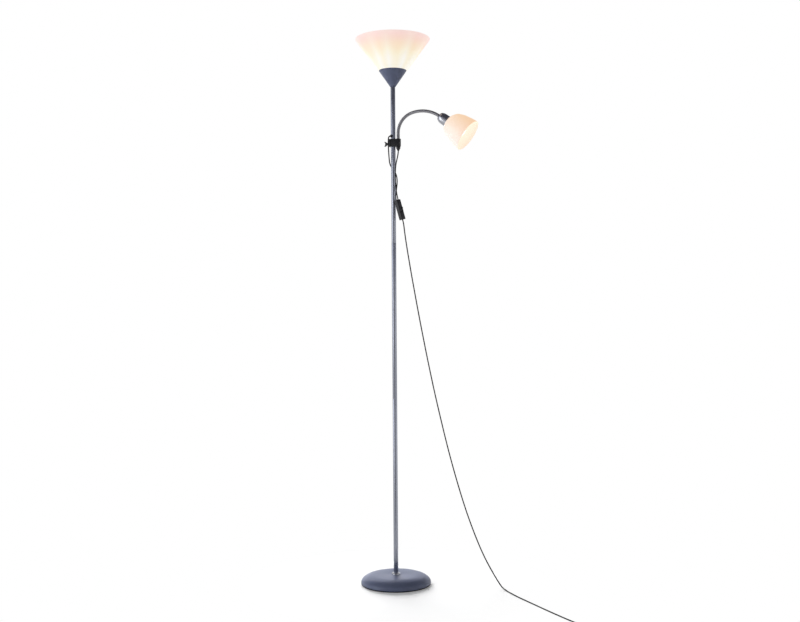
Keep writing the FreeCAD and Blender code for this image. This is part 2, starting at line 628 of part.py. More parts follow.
# --- Plug, lying flat on the floor ---
PLUG_NOSE = V(424, -540.5, 0)
plug_turn = FreeCAD.Rotation(V(0, 0, 1), 180)
on_floor = FreeCAD.Placement(PLUG_NOSE, plug_turn)
plug = [
    (-36, -3.6), (-33, -5), (-19, -13, -14), (-13, -15.6), (-4, -16.6), (0, -16.2), (0, 16.2), (-4, 16.6),
    (-13, 15.6, -14), (-19, 13), (-33, 5), (-36, 3.6),
]
plug_plan = prism("plug_plan", plug, s.plug_thickness)
top, tail, axis_z = s.plug_thickness, s.plug_tail / 2, s.plug_thickness / 2
plug_side = [
    (-37, axis_z - tail), (-27, axis_z - tail), (-19, 0), (1, 0), (1, top), (-19, top),
    (-27, axis_z + tail), (-37, axis_z + tail),
]
plug_section = prism("plug_section", plug_side, 40)
plug_section.Placement = FreeCAD.Placement(V(0, 20, 0), FreeCAD.Rotation(V(1, 0, 0), 90))
plug_blank = join("plug_blank", [plug_plan, plug_section], "Part::MultiCommon")
to_back = FreeCAD.Rotation(V(0, 0, 1), V(-1, 0, 0))
plug_hole = rod("plug_hole", cord_hole, 12, s.plug_thickness / 2, x=-26, turn=to_back)
to_front = FreeCAD.Rotation(V(0, 0, 1), V(1, 0, 0))
pin_holes = [rod("pin_hole%d" % n, s.pin_radius + 0.02, 9, s.plug_thickness / 2, x=-8,
                 y=s.pin_spacing / 2 * side, turn=to_front) for n, side in enumerate((-1, 1))]
keep("plug_body", cut("plug_body", plug_blank, [plug_hole] + pin_holes), on_floor)
pins = [rod("pin%d" % n, s.pin_radius, s.pin_length + 7.9, s.plug_thickness / 2, x=-7.9,
            y=s.pin_spacing / 2 * side, turn=to_front) for n, side in enumerate((-1, 1))]
keep("plug_pins", gather("plug_pins", pins), on_floor)


# --- Cords: straight runs joined by tangent arcs, swept as one tube ---
def cord_line(points):
    """Straight runs with an arc at each corner, its radius from the shorter of the two runs."""
    edges, at, radii = [], points[0], []
    for before, corner, after in zip(points, points[1:], points[2:]):
        inward, outward = (corner - before), (after - corner)
        run = min(inward.Length, outward.Length)
        inward.normalize()
        outward.normalize()
        half = inward.getAngle(outward) / 2
        back = 0.45 * run
        start, stop = corner - inward * back, corner + outward * back
        radius = back / math.tan(half)
        radii.append(radius)
        bisector = (outward - inward).normalize()
        middle = corner + bisector * (radius / math.cos(half) - radius)
        edges.append(Part.LineSegment(at, start).toShape())
        edges.append(Part.Arc(start, middle, stop).toShape())
        at = stop
    edges.append(Part.LineSegment(at, points[-1]).toShape())
    return Part.Wire(edges), radii


def cord(node, points, radius):
    """A round cord along its route. Its volume has to equal its section times its length."""
    line, radii = cord_line([V(*p) for p in points])
    circle = Part.Circle(line.Edges[0].valueAt(0), V(*points[1]) - V(*points[0]), radius.value)
    skin = line.makePipeShell([Part.Wire(circle.toShape())], True, False)
    piece = doc.addObject("Part::Feature", node)
    piece.Shape = skin
    piece.Placement = FreeCAD.Placement()
    keep(node, piece)
    share = skin.Volume / (math.pi * radius.value**2 * line.Length)
    print("%s: length %.0f mm, least radius %.1f mm, volume share %.4f, lowest %.2f" % (
        node, line.Length, min(radii), share, line.BoundBox.ZMin - radius.value))
    return line


UPPER_ROUTE = [
    (-4.3, -4.1, 1461), (-13.6, -13, 1461), (-16.2, -14.6, 1446), (-15.6, -13.8, 1424),
    (-14.6, -12.2, 1402), (-13.3, -6.4, 1384), (-11.4, 4.2, 1370), (-3.2, 12.2, 1356), (7.4, 10.6, 1342),
    (11.8, 4.2, 1326), (12.2, -4, 1306), (9.4, -11.6, 1284), (5.9, -16.9, 1261.2), (9.4, -16.9, 1248),
]
READING_ROUTE = [
    (16.63, -6.05, 1424), (16.63, -6.05, 1406), (13, -9.6, 1388), (7.8, -12.6, 1366),
    (6.2, -13.4, 1340), (6.4, -14.8, 1314), (8.2, -18.2, 1288), (11.6, -22.1, 1263.1), (15.2, -22.1, 1249.6),
]
MAINS_ROUTE = [
    (28.4, -19.5, 1189), (32.4, -19.6, 1174), (34.6, -20.1, 1152), (39.6, -20.8, 1114), (47.4, -21.4, 1064),
    (56.2, -22.1, 1010), (65.6, -22.8, 956), (75.4, -23.8, 900), (86, -24.6, 842), (96.6, -25.8, 786),
    (107.4, -26.6, 730), (118.8, -27.8, 674), (131, -28.6, 616), (144, -30.2, 558), (157.4, -31.2, 500),
    (171.4, -32.6, 442), (186, -33.8, 386), (201.6, -35.4, 330), (217.6, -36.8, 276), (234.4, -38.6, 224),
    (252.6, -40.4, 174), (270, -42.2, 130), (287, -44.2, 92), (305, -47.4, 58), (323.5, -54, 26),
    (338, -70, 5.2), (347, -98, 2.2), (363, -142, 2.2), (383.5, -191, 2.2), (407.5, -241, 2.2),
    (429.5, -288, 2.2), (452.5, -336, 2.2), (476, -383, 2.2), (500, -429, 2.2), (519, -464, 2.2),
    (530, -492, 2.2), (526.5, -517.5, 2.4), (508, -534, 3.6), (483, -540.5, 6), (458, -540.5, 6.85),
]
cord("upper_cord", UPPER_ROUTE, s.cord_radius)
cord("reading_cord", READING_ROUTE, s.cord_radius)
mains_line = cord("mains_cord", MAINS_ROUTE, s.cord_radius)

doc.recompute()
bad = [o.Name for o in doc.Objects if "Invalid" in o.State or "Error" in o.State]
assert not bad, bad
assert len(nodes) <= 60, len(nodes)
for node, obj in nodes.items():
    assert not obj.Shape.isNull() and obj.Shape.isValid(), node
    obj.Shape.exportStep("parts/%s.step" % node)
print(len(nodes), "pieces")
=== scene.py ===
import math

import bmesh
import bpy
from mathutils import Matrix, Vector


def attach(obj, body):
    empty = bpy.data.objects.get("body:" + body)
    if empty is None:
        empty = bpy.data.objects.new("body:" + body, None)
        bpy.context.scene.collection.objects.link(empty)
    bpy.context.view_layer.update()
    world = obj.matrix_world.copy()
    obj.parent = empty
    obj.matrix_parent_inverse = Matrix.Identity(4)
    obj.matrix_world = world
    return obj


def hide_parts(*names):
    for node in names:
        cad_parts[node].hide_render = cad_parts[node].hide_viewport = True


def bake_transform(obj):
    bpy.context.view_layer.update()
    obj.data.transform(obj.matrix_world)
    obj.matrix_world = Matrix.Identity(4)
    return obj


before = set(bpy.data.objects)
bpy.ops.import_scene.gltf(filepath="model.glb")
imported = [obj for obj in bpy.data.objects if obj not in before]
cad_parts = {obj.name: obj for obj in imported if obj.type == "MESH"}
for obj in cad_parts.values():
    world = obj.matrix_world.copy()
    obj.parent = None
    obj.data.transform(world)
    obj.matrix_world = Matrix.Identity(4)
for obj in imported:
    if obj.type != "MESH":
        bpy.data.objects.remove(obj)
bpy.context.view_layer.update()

scene = bpy.context.scene
scene.view_settings.view_transform = "Standard"
MM = 0.001


def shown(name, data):
    made = bpy.data.objects.new(name, data)
    scene.collection.objects.link(made)
    return made


def mesh_from(name, shape):
    """A mesh that takes a finished shape's faces."""
    mesh = bpy.data.meshes.new(name)
    shape.to_mesh(mesh)
    shape.free()
    return mesh


# --- Camera: level, a hair out of plumb, 3.41 m in front of the pole ---
LENS, LEAN = 46.98, 0.00662
CAMERA_PLACE = (0.0186, -3.41, 0.89)
camera = shown("camera", bpy.data.cameras.new("camera"))
camera.data.lens = LENS
camera.data.sensor_width = 36
camera.matrix_world = Matrix((
    (math.cos(LEAN), math.sin(LEAN), 0, CAMERA_PLACE[0]),
    (0, 0, -1, CAMERA_PLACE[1]),
    (-math.sin(LEAN), math.cos(LEAN), 0, CAMERA_PLACE[2]),
    (0, 0, 0, 1),
))
scene.camera = camera


# --- Materials ---
def linear(colour):
    """A colour written as six hexadecimal digits, as the shader wants it."""
    parts = [int(colour[n:n + 2], 16) / 255 for n in (0, 2, 4)]
    return [c / 12.92 if c < 0.04045 else ((c + 0.055) / 1.055) ** 2.4 for c in parts] + [1]


def add(tree, kind, sockets=None, **settings):
    """A node, with its settings, and each named socket given a value or wired to another node's."""
    made = tree.nodes.new(kind)
    for key, value in settings.items():
        setattr(made, key, value)
    for key, value in (sockets or {}).items():
        if isinstance(value, bpy.types.NodeSocket):
            tree.links.new(value, made.inputs[key])
        else:
            made.inputs[key].default_value = value
    return made


def new_group(name, inputs, outputs):
    """An empty effect with its named sockets: the group, its inputs by name, and its output node."""
    group = bpy.data.node_groups.new(name, "ShaderNodeTree")
    for direction, sockets in (("INPUT", inputs), ("OUTPUT", outputs)):
        for label, kind in sockets.items():
            group.interface.new_socket(label, in_out=direction, socket_type="NodeSocket" + kind)
    given = group.nodes.new("NodeGroupInput")
    result = group.nodes.new("NodeGroupOutput")
    return group, given.outputs, result


def wire(tree, start, end):
    tree.links.new(start, end)


def brushing_effect():
    """Fine lines that run along Z, and the slow unevenness of a polished tube."""
    group, given, result = new_group(
        "brushing", {"Vector": "Vector", "Across": "Float", "Along": "Float"},
        {"Lines": "Float", "Tone": "Float"})
    stretch = add(group, "ShaderNodeCombineXYZ",
                  {"X": given["Across"], "Y": given["Across"], "Z": given["Along"]})
    lengthened = add(group, "ShaderNodeVectorMath", {0: given["Vector"], 1: stretch.outputs[0]},
                     operation="MULTIPLY")
    lines = add(group, "ShaderNodeTexNoise", {"Vector": lengthened.outputs[0], "Scale": 1, "Detail": 4})
    tone = add(group, "ShaderNodeTexNoise", {"Vector": given["Vector"], "Scale": 22, "Detail": 3})
    wire(group, lines.outputs["Fac"], result.inputs["Lines"])
    wire(group, tone.outputs["Fac"], result.inputs["Tone"])
    return group


def grain_effect():
    """The fine orange peel of paint or of a moulding, with a slow change of tone and a little dust."""
    group, given, result = new_group(
        "grain", {"Vector": "Vector", "Fineness": "Float", "Dust": "Float"},
        {"Height": "Float", "Tone": "Float", "Dust": "Float"})
    peel = add(group, "ShaderNodeTexNoise",
               {"Vector": given["Vector"], "Scale": given["Fineness"], "Detail": 2, "Roughness": 0.6})
    tone = add(group, "ShaderNodeTexNoise", {"Vector": given["Vector"], "Scale": 14, "Detail": 4})
    normal = add(group, "ShaderNodeNewGeometry").outputs["Normal"]
    facing = add(group, "ShaderNodeSeparateXYZ", {"Vector": normal})
    level = add(group, "ShaderNodeMapRange",
                {"Value": facing.outputs["Z"], "From Min": 0.55, "From Max": 1, "To Min": 0, "To Max": 1})
    specks = add(group, "ShaderNodeTexNoise", {"Vector": given["Vector"], "Scale": 160, "Detail": 5})
    patches = add(group, "ShaderNodeMapRange", {"Value": specks.outputs["Fac"], "From Min": 0.45,
                                                "From Max": 0.75, "To Min": 0.2, "To Max": 1})
    lying = add(group, "ShaderNodeMath", {0: level.outputs[0], 1: patches.outputs[0]}, operation="MULTIPLY")
    dust = add(group, "ShaderNodeMath", {0: lying.outputs[0], 1: given["Dust"]}, operation="MULTIPLY")
    wire(group, peel.outputs["Fac"], result.inputs["Height"])
    wire(group, tone.outputs["Fac"], result.inputs["Tone"])
    wire(group, dust.outputs[0], result.inputs["Dust"])
    return group


BRUSHING, GRAIN = brushing_effect(), grain_effect()


def new_finish(name, **constants):
    """A material: its node tree, its Principled shader with plain values, and its object coordinates."""
    made = bpy.data.materials.new(name)
    made.use_nodes = True
    tree = made.node_tree
    shader = tree.nodes["Principled BSDF"]
    for key, value in constants.items():
        shader.inputs[key.replace("_", " ")].default_value = value
    place = tree.nodes.new("ShaderNodeTexCoord").outputs["Object"]
    return made, tree, shader, place


def use_group(tree, group, sockets):
    return add(tree, "ShaderNodeGroup", sockets, node_tree=group)


def bump(tree, shader, height, strength, distance):
    made = add(tree, "ShaderNodeBump", {"Height": height, "Strength": strength, "Distance": distance * MM})
    wire(tree, made.outputs[0], shader.inputs["Normal"])


def mixed(tree, share, first, second):
    """A blend of two colours by a mask."""
    return add(tree, "ShaderNodeMix", {0: share, 6: first, 7: second}, data_type="RGBA").outputs[2]


def ramp(tree, share, stops):
    """Colours at their places from 0 to 1."""
    made = add(tree, "ShaderNodeValToRGB", {"Fac": share})
    band = made.color_ramp
    for place, _ in stops[2:]:
        band.elements.new(place)
    for element, (place, colour) in zip(band.elements, sorted(stops)):
        element.position = place
        element.color = colour
    return made.outputs["Color"]


def span(tree, value, low, high, to_low=0, to_high=1):
    made = add(tree, "ShaderNodeMapRange", {"Value": value, "From Min": low, "From Max": high,
                                            "To Min": to_low, "To Max": to_high})
    return made.outputs[0]


def metal(name, colour, roughness, across=1400, along=30, lines=0.06, depth=0.01):
    """Bare or plated metal, brushed along Z."""
    made, tree, shader, place = new_finish(name, Metallic=1)
    brushed = use_group(tree, BRUSHING, {"Vector": place, "Across": across, "Along": along})
    tint = linear(colour)
    dark = [c * (1 - lines) for c in tint[:3]] + [1]
    light = [min(1, c * (1 + lines)) for c in tint[:3]] + [1]
    wire(tree, mixed(tree, brushed.outputs["Lines"], dark, light), shader.inputs["Base Color"])
    wire(tree, span(tree, brushed.outputs["Tone"], 0.3, 0.7, roughness - 0.05, roughness + 0.05),
         shader.inputs["Roughness"])
    bump(tree, shader, brushed.outputs["Lines"], 0.25, depth)
    return made


def coated(name, colour, roughness, fineness=900, depth=0.02, dust=0.0, gloss=0.5, change=0.1):
    """Paint or plastic with its fine peel, slow change of tone, and dust where it faces up."""
    made, tree, shader, place = new_finish(name, Specular_IOR_Level=gloss)
    grain = use_group(tree, GRAIN, {"Vector": place, "Fineness": fineness, "Dust": dust})
    tint = linear(colour)
    dark = [c * (1 - change) for c in tint[:3]] + [1]
    light = [c * (1 + change) for c in tint[:3]] + [1]
    plain = mixed(tree, grain.outputs["Tone"], dark, light)
    wire(tree, mixed(tree, grain.outputs["Dust"], plain, linear("b9b4ac")), shader.inputs["Base Color"])
    wire(tree, span(tree, grain.outputs["Height"], 0.2, 0.8, roughness - 0.06, roughness + 0.06),
         shader.inputs["Roughness"])
    bump(tree, shader, grain.outputs["Height"], 0.3, depth)
    return made


# A lit shade shows its own glow and the room's light on its surface. The colours are what both give
# together. The uplight gets more of the room's light than the reading light does.
OPAL_BASE = (0.28, 0.27, 0.27, 1)
REFLECTED = (0.13, 0.125, 0.125)
UPLIGHT_SHARE = 1.55
CONE_FOOT, CONE_RIM = 1.664, 1.777
BELL_SEAT, BELL_MOUTH, BELL_HALF = 0.035, 0.117, 0.04
CONE_STOPS = (0, 0.35, 0.47, 0.58, 0.7, 0.82, 0.93, 1)


def glow_ramp(tree, along, stops, colours, share=1.0):
    """Glowing colours at their places, less what the room's light adds to them."""
    glows = [[max(0.0, c - r * share) for c, r in zip(linear(colour), REFLECTED)] + [1]
             for colour in colours.split()]
    return ramp(tree, along, list(zip(stops, glows)))


def opal(name, roughness):
    """Opal plastic, a little cloudy, whose glow is set by what is wired to its emission colour."""
    made, tree, shader, place = new_finish(name, Roughness=roughness, Base_Color=OPAL_BASE,
                                           Specular_IOR_Level=0.25, Emission_Strength=1)
    cloud = add(tree, "ShaderNodeTexNoise", {"Vector": place, "Scale": 260, "Detail": 3})
    bump(tree, shader, cloud.outputs["Fac"], 0.15, 0.05)
    return made, tree, shader, place


def cone_height(tree, place):
    """0 at the cone's foot, 1 at its rim."""
    at = add(tree, "ShaderNodeSeparateXYZ", {"Vector": place}).outputs
    return span(tree, at["Z"], CONE_FOOT, CONE_RIM)


# How much of the stronger light shows at each bearing round the cone, in degrees from the front
# towards the right.
FAN_OF_LIGHT = (
    (-180, 0.5), (-168, 1), (-150, 0), (-128, 1), (-108, 0.1), (-88, 0.8), (-66, 0), (-52, 0.3), (-41, 1),
    (-26, 0.05), (-11, 0.9), (2, 0.15), (14, 0), (32, 1), (46, 0), (72, 0.9), (92, 0), (118, 1), (136, 0.1),
    (158, 0.8), (172, 0.1), (180, 0.5),
)


def upper_opal():
    """Lit from inside: white low down, warmer and pinker to the rim, with a fan of light."""
    made, tree, shader, place = opal("opal_cone", 0.42)
    at = add(tree, "ShaderNodeSeparateXYZ", {"Vector": place}).outputs
    height = cone_height(tree, place)
    soft = glow_ramp(tree, height, CONE_STOPS,
                     "fef6e6 fef5df fef1d6 feebd0 fee6ce fee0d2 fddfd8 fde3de", UPLIGHT_SHARE)
    strong = glow_ramp(tree, height, CONE_STOPS,
                       "fefdf6 fefcf4 fefaec fef5e2 feeedc fee8da fee5dc fee6df", UPLIGHT_SHARE)
    forward = add(tree, "ShaderNodeMath", {0: at["Y"], 1: -1}, operation="MULTIPLY")
    turn = add(tree, "ShaderNodeMath", {0: at["X"], 1: forward.outputs[0]}, operation="ARCTAN2")
    round_share = span(tree, turn.outputs[0], -math.pi, math.pi)
    streak = ramp(tree, round_share, [
        ((bearing + 180) / 360, (level, level, level, 1)) for bearing, level in FAN_OF_LIGHT])
    wire(tree, mixed(tree, streak, soft, strong), shader.inputs["Emission Color"])
    return made


def upper_opal_inside():
    """The cone's inner wall, next to the bulb."""
    made, tree, shader, place = opal("opal_cone_inside", 0.42)
    tone = glow_ramp(tree, cone_height(tree, place), (0, 0.5, 0.85, 1), "fefdf2 fef9e6 fef1dc feebd8",
                     UPLIGHT_SHARE)
    wire(tree, tone, shader.inputs["Emission Color"])
    return made


HEAD_TIP = Vector((149.41, -54.38, 1515.53)) * MM
HEAD_AXIS = Vector((0.76023, -0.27670, -0.58779)).normalized()
HEAD_SIDE = Vector((-0.34202, -0.93969, 0))


def distance_along(tree, place, origin, direction):
    """How far a point lies from an origin, in one direction."""
    moved = add(tree, "ShaderNodeVectorMath", {0: place, 1: tuple(origin)}, operation="SUBTRACT")
    along = add(tree, "ShaderNodeVectorMath", {0: moved.outputs[0], 1: tuple(direction)},
                operation="DOT_PRODUCT")
    return along.outputs["Value"]


def bell_length(tree, place):
    """0 at the bell's seat, 1 at its mouth."""
    return span(tree, distance_along(tree, place, HEAD_TIP, HEAD_AXIS), BELL_SEAT, BELL_MOUTH)


def bell_opal():
    """The reading shade's outside: peach above, paler and pinker below."""
    made, tree, shader, place = opal("opal_bell", 0.38)
    length = bell_length(tree, place)
    top = HEAD_SIDE.cross(HEAD_AXIS).normalized()
    if top.z < 0:
        top = -top
    across = span(tree, distance_along(tree, place, HEAD_TIP, top), -BELL_HALF, BELL_HALF)
    upper = glow_ramp(tree, length, (0, 0.35, 0.7, 1), "fee0c4 fedebe fedcbc fedab9")
    lower = glow_ramp(tree, length, (0, 0.4, 0.8, 1), "fef0e6 fdf1ea fdede4 fce6dc")
    wire(tree, mixed(tree, across, lower, upper), shader.inputs["Emission Color"])
    return made


def bell_opal_inside():
    """The reading shade's inner wall: cream, whiter near the bulb."""
    made, tree, shader, place = opal("opal_bell_inside", 0.38)
    tone = glow_ramp(tree, bell_length(tree, place), (0, 0.5, 0.8, 1), "fef6e1 fdf1dc fdead5 fce3ce")
    wire(tree, tone, shader.inputs["Emission Color"])
    return made


def lit_bulb(name, colour, strength):
    """Frosted glass over a lamp that is on; a little cloudier in places."""
    made, tree, shader, place = new_finish(
        name, Base_Color=(0.1, 0.1, 0.1, 1), Roughness=0.3, Emission_Strength=strength)
    cloud = add(tree, "ShaderNodeTexNoise", {"Vector": place, "Scale": 60, "Detail": 2})
    warm, pale = linear(colour), linear("fffdf8")
    wire(tree, mixed(tree, cloud.outputs["Fac"], warm, pale), shader.inputs["Emission Color"])
    return made


def cord_sheath():
    """Black PVC, smooth along its run, a little uneven in its shine."""
    made, tree, shader, place = new_finish("cord_sheath", Specular_IOR_Level=0.25)
    grain = use_group(tree, GRAIN, {"Vector": place, "Fineness": 700, "Dust": 0.0})
    tone = mixed(tree, grain.outputs["Tone"], linear("0c0c0d"), linear("151516"))
    wire(tree, tone, shader.inputs["Base Color"])
    wire(tree, span(tree, grain.outputs["Height"], 0.2, 0.8, 0.38, 0.55), shader.inputs["Roughness"])
    bump(tree, shader, grain.outputs["Height"], 0.2, 0.03)
    return made


finishes = {
    "tube": metal("satin_tube", "8b8e98", 0.3),
    "neck": metal("satin_neck", "8d8c90", 0.32, across=600, along=600),
    "bright": metal("bright_collar", "c6c7ca", 0.2),
    "head_cup": metal("satin_head_cup", "a3a4aa", 0.26, across=900, along=900),
    "zinc": metal("zinc_plate", "a8a9ab", 0.38, across=700, along=700),
    "brass": metal("brass_part", "b99a58", 0.34, across=700, along=700),
    "paint": coated("blue_grey_paint", "646b84", 0.4, fineness=1100, dust=0.04, gloss=0.25),
    "pan": coated("pan_enamel", "2c2d31", 0.5),
    "plastic": coated("black_moulding", "1a1a1c", 0.42, fineness=1400, depth=0.03, dust=0.04, gloss=0.35),
    "rubber": coated("foot_rubber", "101010", 0.7, fineness=700, depth=0.05, gloss=0.1),
    "iron": coated("cast_iron", "5b5954", 0.8, fineness=260, depth=0.4),
    "cord": cord_sheath(),
    "cone": upper_opal(),
    "cone_inside": upper_opal_inside(),
    "bell": bell_opal(),
    "bell_inside": bell_opal_inside(),
    "upper_bulb": lit_bulb("upper_bulb_lit", "fff6e2", 0.98),
    "reading_bulb": lit_bulb("reading_bulb_lit", "fffaf0", 0.96),
}

# --- Cords: each route's points are the control points of one smooth line ---
CORD = 4.0
UPPER_ROUTE = [
    (-4.3, -4.1, 1461), (-13.6, -13, 1461), (-16.2, -14.6, 1446), (-15.6, -13.8, 1424),
    (-14.6, -12.2, 1402), (-13.3, -6.4, 1384), (-11.4, 4.2, 1370), (-3.2, 12.2, 1356), (7.4, 10.6, 1342),
    (11.8, 4.2, 1326), (12.2, -4, 1306), (9.4, -11.6, 1284), (5.9, -16.9, 1261.2), (9.4, -16.9, 1248),
]
READING_ROUTE = [
    (16.63, -6.05, 1424), (16.63, -6.05, 1406), (13, -9.6, 1388), (7.8, -12.6, 1366),
    (6.2, -13.4, 1340), (6.4, -14.8, 1314), (8.2, -18.2, 1288), (11.6, -22.1, 1263.1), (15.2, -22.1, 1249.6),
]
MAINS_ROUTE = [
    (28.4, -19.5, 1189), (32.4, -19.6, 1174), (34.6, -20.1, 1152), (39.6, -20.8, 1114), (47.4, -21.4, 1064),
    (56.2, -22.1, 1010), (65.6, -22.8, 956), (75.4, -23.8, 900), (86, -24.6, 842), (96.6, -25.8, 786),
    (107.4, -26.6, 730), (118.8, -27.8, 674), (131, -28.6, 616), (144, -30.2, 558), (157.4, -31.2, 500),
    (171.4, -32.6, 442), (186, -33.8, 386), (201.6, -35.4, 330), (217.6, -36.8, 276), (234.4, -38.6, 224),
    (252.6, -40.4, 174), (270, -42.2, 130), (287, -44.2, 92), (305, -47.4, 58), (323.5, -54, 26),
    (338, -70, 5.2), (347, -98, 2.2), (363, -142, 2.2), (383.5, -191, 2.2), (407.5, -241, 2.2),
    (429.5, -288, 2.2), (452.5, -336, 2.2), (476, -383, 2.2), (500, -429, 2.2), (519, -464, 2.2),
    (530, -492, 2.2), (526.5, -517.5, 2.4), (508, -534, 3.6), (483, -540.5, 6), (458, -540.5, 6.85),
]


def route_line(name, route):
    """The smooth line of a route, with the route's points as its control points."""
    curve = bpy.data.curves.new(name, "CURVE")
    curve.dimensions = "3D"
    curve.resolution_u = 16
    line = curve.splines.new("NURBS")
    line.points.add(len(route) - 1)
    for point, place in zip(line.points, route):
        point.co = (*[c * MM for c in place], 1)
    line.order_u = 3
    line.use_endpoint_u = True
    return curve


def give_thickness(curve):
    curve.bevel_depth = CORD / 2 * MM
    curve.bevel_resolution = 5
    curve.use_fill_caps = True
    curve.materials.append(finishes["cord"])


def whole_cord(name, route, node):
    curve = route_line(name, route)
    give_thickness(curve)
    made = shown(name, curve)
    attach(made, "stand")
    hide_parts(node)
    return made


mains = whole_cord("mains_cable", MAINS_ROUTE, "mains_cord")


def smooth_points(name, route):
    """The points of a route's smooth line."""
    bare = shown(name, route_line(name, route))
    line_mesh = bpy.data.meshes.new_from_object(bare)
    points = [v.co.copy() for v in line_mesh.vertices]
    bpy.data.objects.remove(bare)
    bpy.data.meshes.remove(line_mesh)
    return points


def split_at(points, height):
    """Two runs of points that meet where the line first comes below a height."""
    turn_at = next(n for n, point in enumerate(points) if point.z < height)
    return points[:turn_at + 1], points[turn_at:]


def cord_length(name, points, node):
    """A length of cord along points read from the smooth line."""
    curve = bpy.data.curves.new(name, "CURVE")
    curve.dimensions = "3D"
    line = curve.splines.new("POLY")
    line.points.add(len(points) - 1)
    for point, place in zip(line.points, points):
        point.co = (*place, 1)
    give_thickness(curve)
    rod = shown(name + "_rod", curve)
    made = shown(name, bpy.data.meshes.new_from_object(rod))
    made.data.name = name
    bpy.data.objects.remove(rod)
    for polygon in made.data.polygons:
        polygon.use_smooth = True
    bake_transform(made)
    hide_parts(node)
    return made


# The uplight's cord and the reading light's are each in two lengths.
UPPER_TOP, UPPER_LOOSE, UPPER_SPLIT, UPPER_HELD = 1.461, 1.424, 1.4, 1.37
READING_TOP, READING_SPLIT, CORDS_FOOT = 1.418, 1.345, 1.254
leaving_points, passing_points = split_at(smooth_points("upper_line", UPPER_ROUTE), UPPER_SPLIT)
leaving = cord_length("upper_cable_top", leaving_points, "upper_cord")
passing = cord_length("upper_cable_foot", passing_points, "upper_cord")
turning_points, sliding_points = split_at(smooth_points("reading_line", READING_ROUTE), READING_SPLIT)
turning = cord_length("reading_cable_top", turning_points, "reading_cord")
sliding = cord_length("reading_cable_foot", sliding_points, "reading_cord")


# --- Shapes ---
def outline(points, fineness=6):
    """A closed outline in millimetres. A point's third number is the radius of the arc to the next
    point, positive where the arc turns left; an arc gets a point for every few degrees."""
    flat = []
    for here, there in zip(points, points[1:] + points[:1]):
        a, b = Vector(here[:2]), Vector(there[:2])
        flat.append(a)
        if len(here) < 3:
            continue
        bend = here[2]
        first, second = (a, b) if bend > 0 else (b, a)
        half, radius = (second - first).length / 2, abs(bend)
        left = Vector((first.y - second.y, second.x - first.x)) / (2 * half)
        centre = (first + second) / 2 + left * math.sqrt(max(radius ** 2 - half ** 2, 0))
        start = math.atan2(*(a - centre).yx)
        sweep = math.atan2(*(b - centre).yx) - start
        sweep = sweep % math.tau if bend > 0 else sweep % math.tau - math.tau
        count = max(2, round(abs(math.degrees(sweep)) / fineness))
        for n in range(1, count):
            t = start + sweep * n / count
            flat.append(centre + radius * Vector((math.cos(t), math.sin(t))))
    return flat


def lathe(points, z=0, steps=96, fineness=6):
    """A solid turned about Z from its closed outline of radius and height."""
    shape = bmesh.new()
    flat = outline(points, fineness)
    corners = [shape.verts.new((p.x * MM, 0, (p.y + z) * MM)) for p in flat]
    sides = [
        shape.edges.new((a, b)) for a, b in zip(corners, corners[1:] + corners[:1])
        if max(a.co.x, b.co.x) > 1e-6
    ]
    bmesh.ops.spin(shape, geom=corners + sides, cent=(0, 0, 0), axis=(0, 0, 1), angle=math.tau,
                   steps=steps, use_merge=True)
    bmesh.ops.remove_doubles(shape, verts=shape.verts[:], dist=1e-6)
    bmesh.ops.recalc_face_normals(shape, faces=shape.faces[:])
    return shape


def sharp_edges(shape, degrees):
    return [e for e in shape.edges
            if len(e.link_faces) == 2 and e.calc_face_angle() > math.radians(degrees)]


def soften(shape, width, segments=3, degrees=28):
    """Round every edge sharper than an angle."""
    bmesh.ops.bevel(shape, geom=sharp_edges(shape, degrees), offset=width * MM, offset_type="OFFSET",
                    segments=segments, profile=0.5, affect="EDGES", clamp_overlap=True, material=-1)
    return shape


def from_node(node, width):
    """A rounded copy of a CAD piece: its triangles merged, its flats made whole, its edges softened."""
    shape = bmesh.new()
    shape.from_mesh(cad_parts[node].data)
    bmesh.ops.remove_doubles(shape, verts=shape.verts[:], dist=1e-6)
    bmesh.ops.dissolve_limit(shape, angle_limit=math.radians(1), verts=shape.verts[:], edges=shape.edges[:])
    return soften(shape, width, degrees=30)


def line_inside(shape):
    """Give the faces that look towards Z their own finish, the second one."""
    for face in shape.faces:
        middle = face.calc_center_median()
        if face.normal.x * middle.x + face.normal.y * middle.y < -0.1 * math.hypot(middle.x, middle.y):
            face.material_index = 1
    return shape


def piece(name, shape, finish, body, nodes, place=None, crease=40, inside=None):
    """Finish a shape: put it in place, shade it, and let it ride for the CAD pieces it stands for."""
    if place is not None:
        bmesh.ops.transform(shape, matrix=place, verts=shape.verts[:])
    for face in shape.faces:
        face.smooth = True
    for edge in sharp_edges(shape, crease):
        edge.smooth = False
    mesh = mesh_from(name, shape)
    mesh.materials.append(finishes[finish])
    if inside:
        mesh.materials.append(finishes[inside])
    made = shown(name, mesh)
    if body:
        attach(made, body)
    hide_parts(*nodes)
    return made


def turned_frame(origin, x, y, z):
    return Matrix((
        (x[0], y[0], z[0], origin[0]), (x[1], y[1], z[1], origin[1]), (x[2], y[2], z[2], origin[2]),
        (0, 0, 0, 1),
    ))


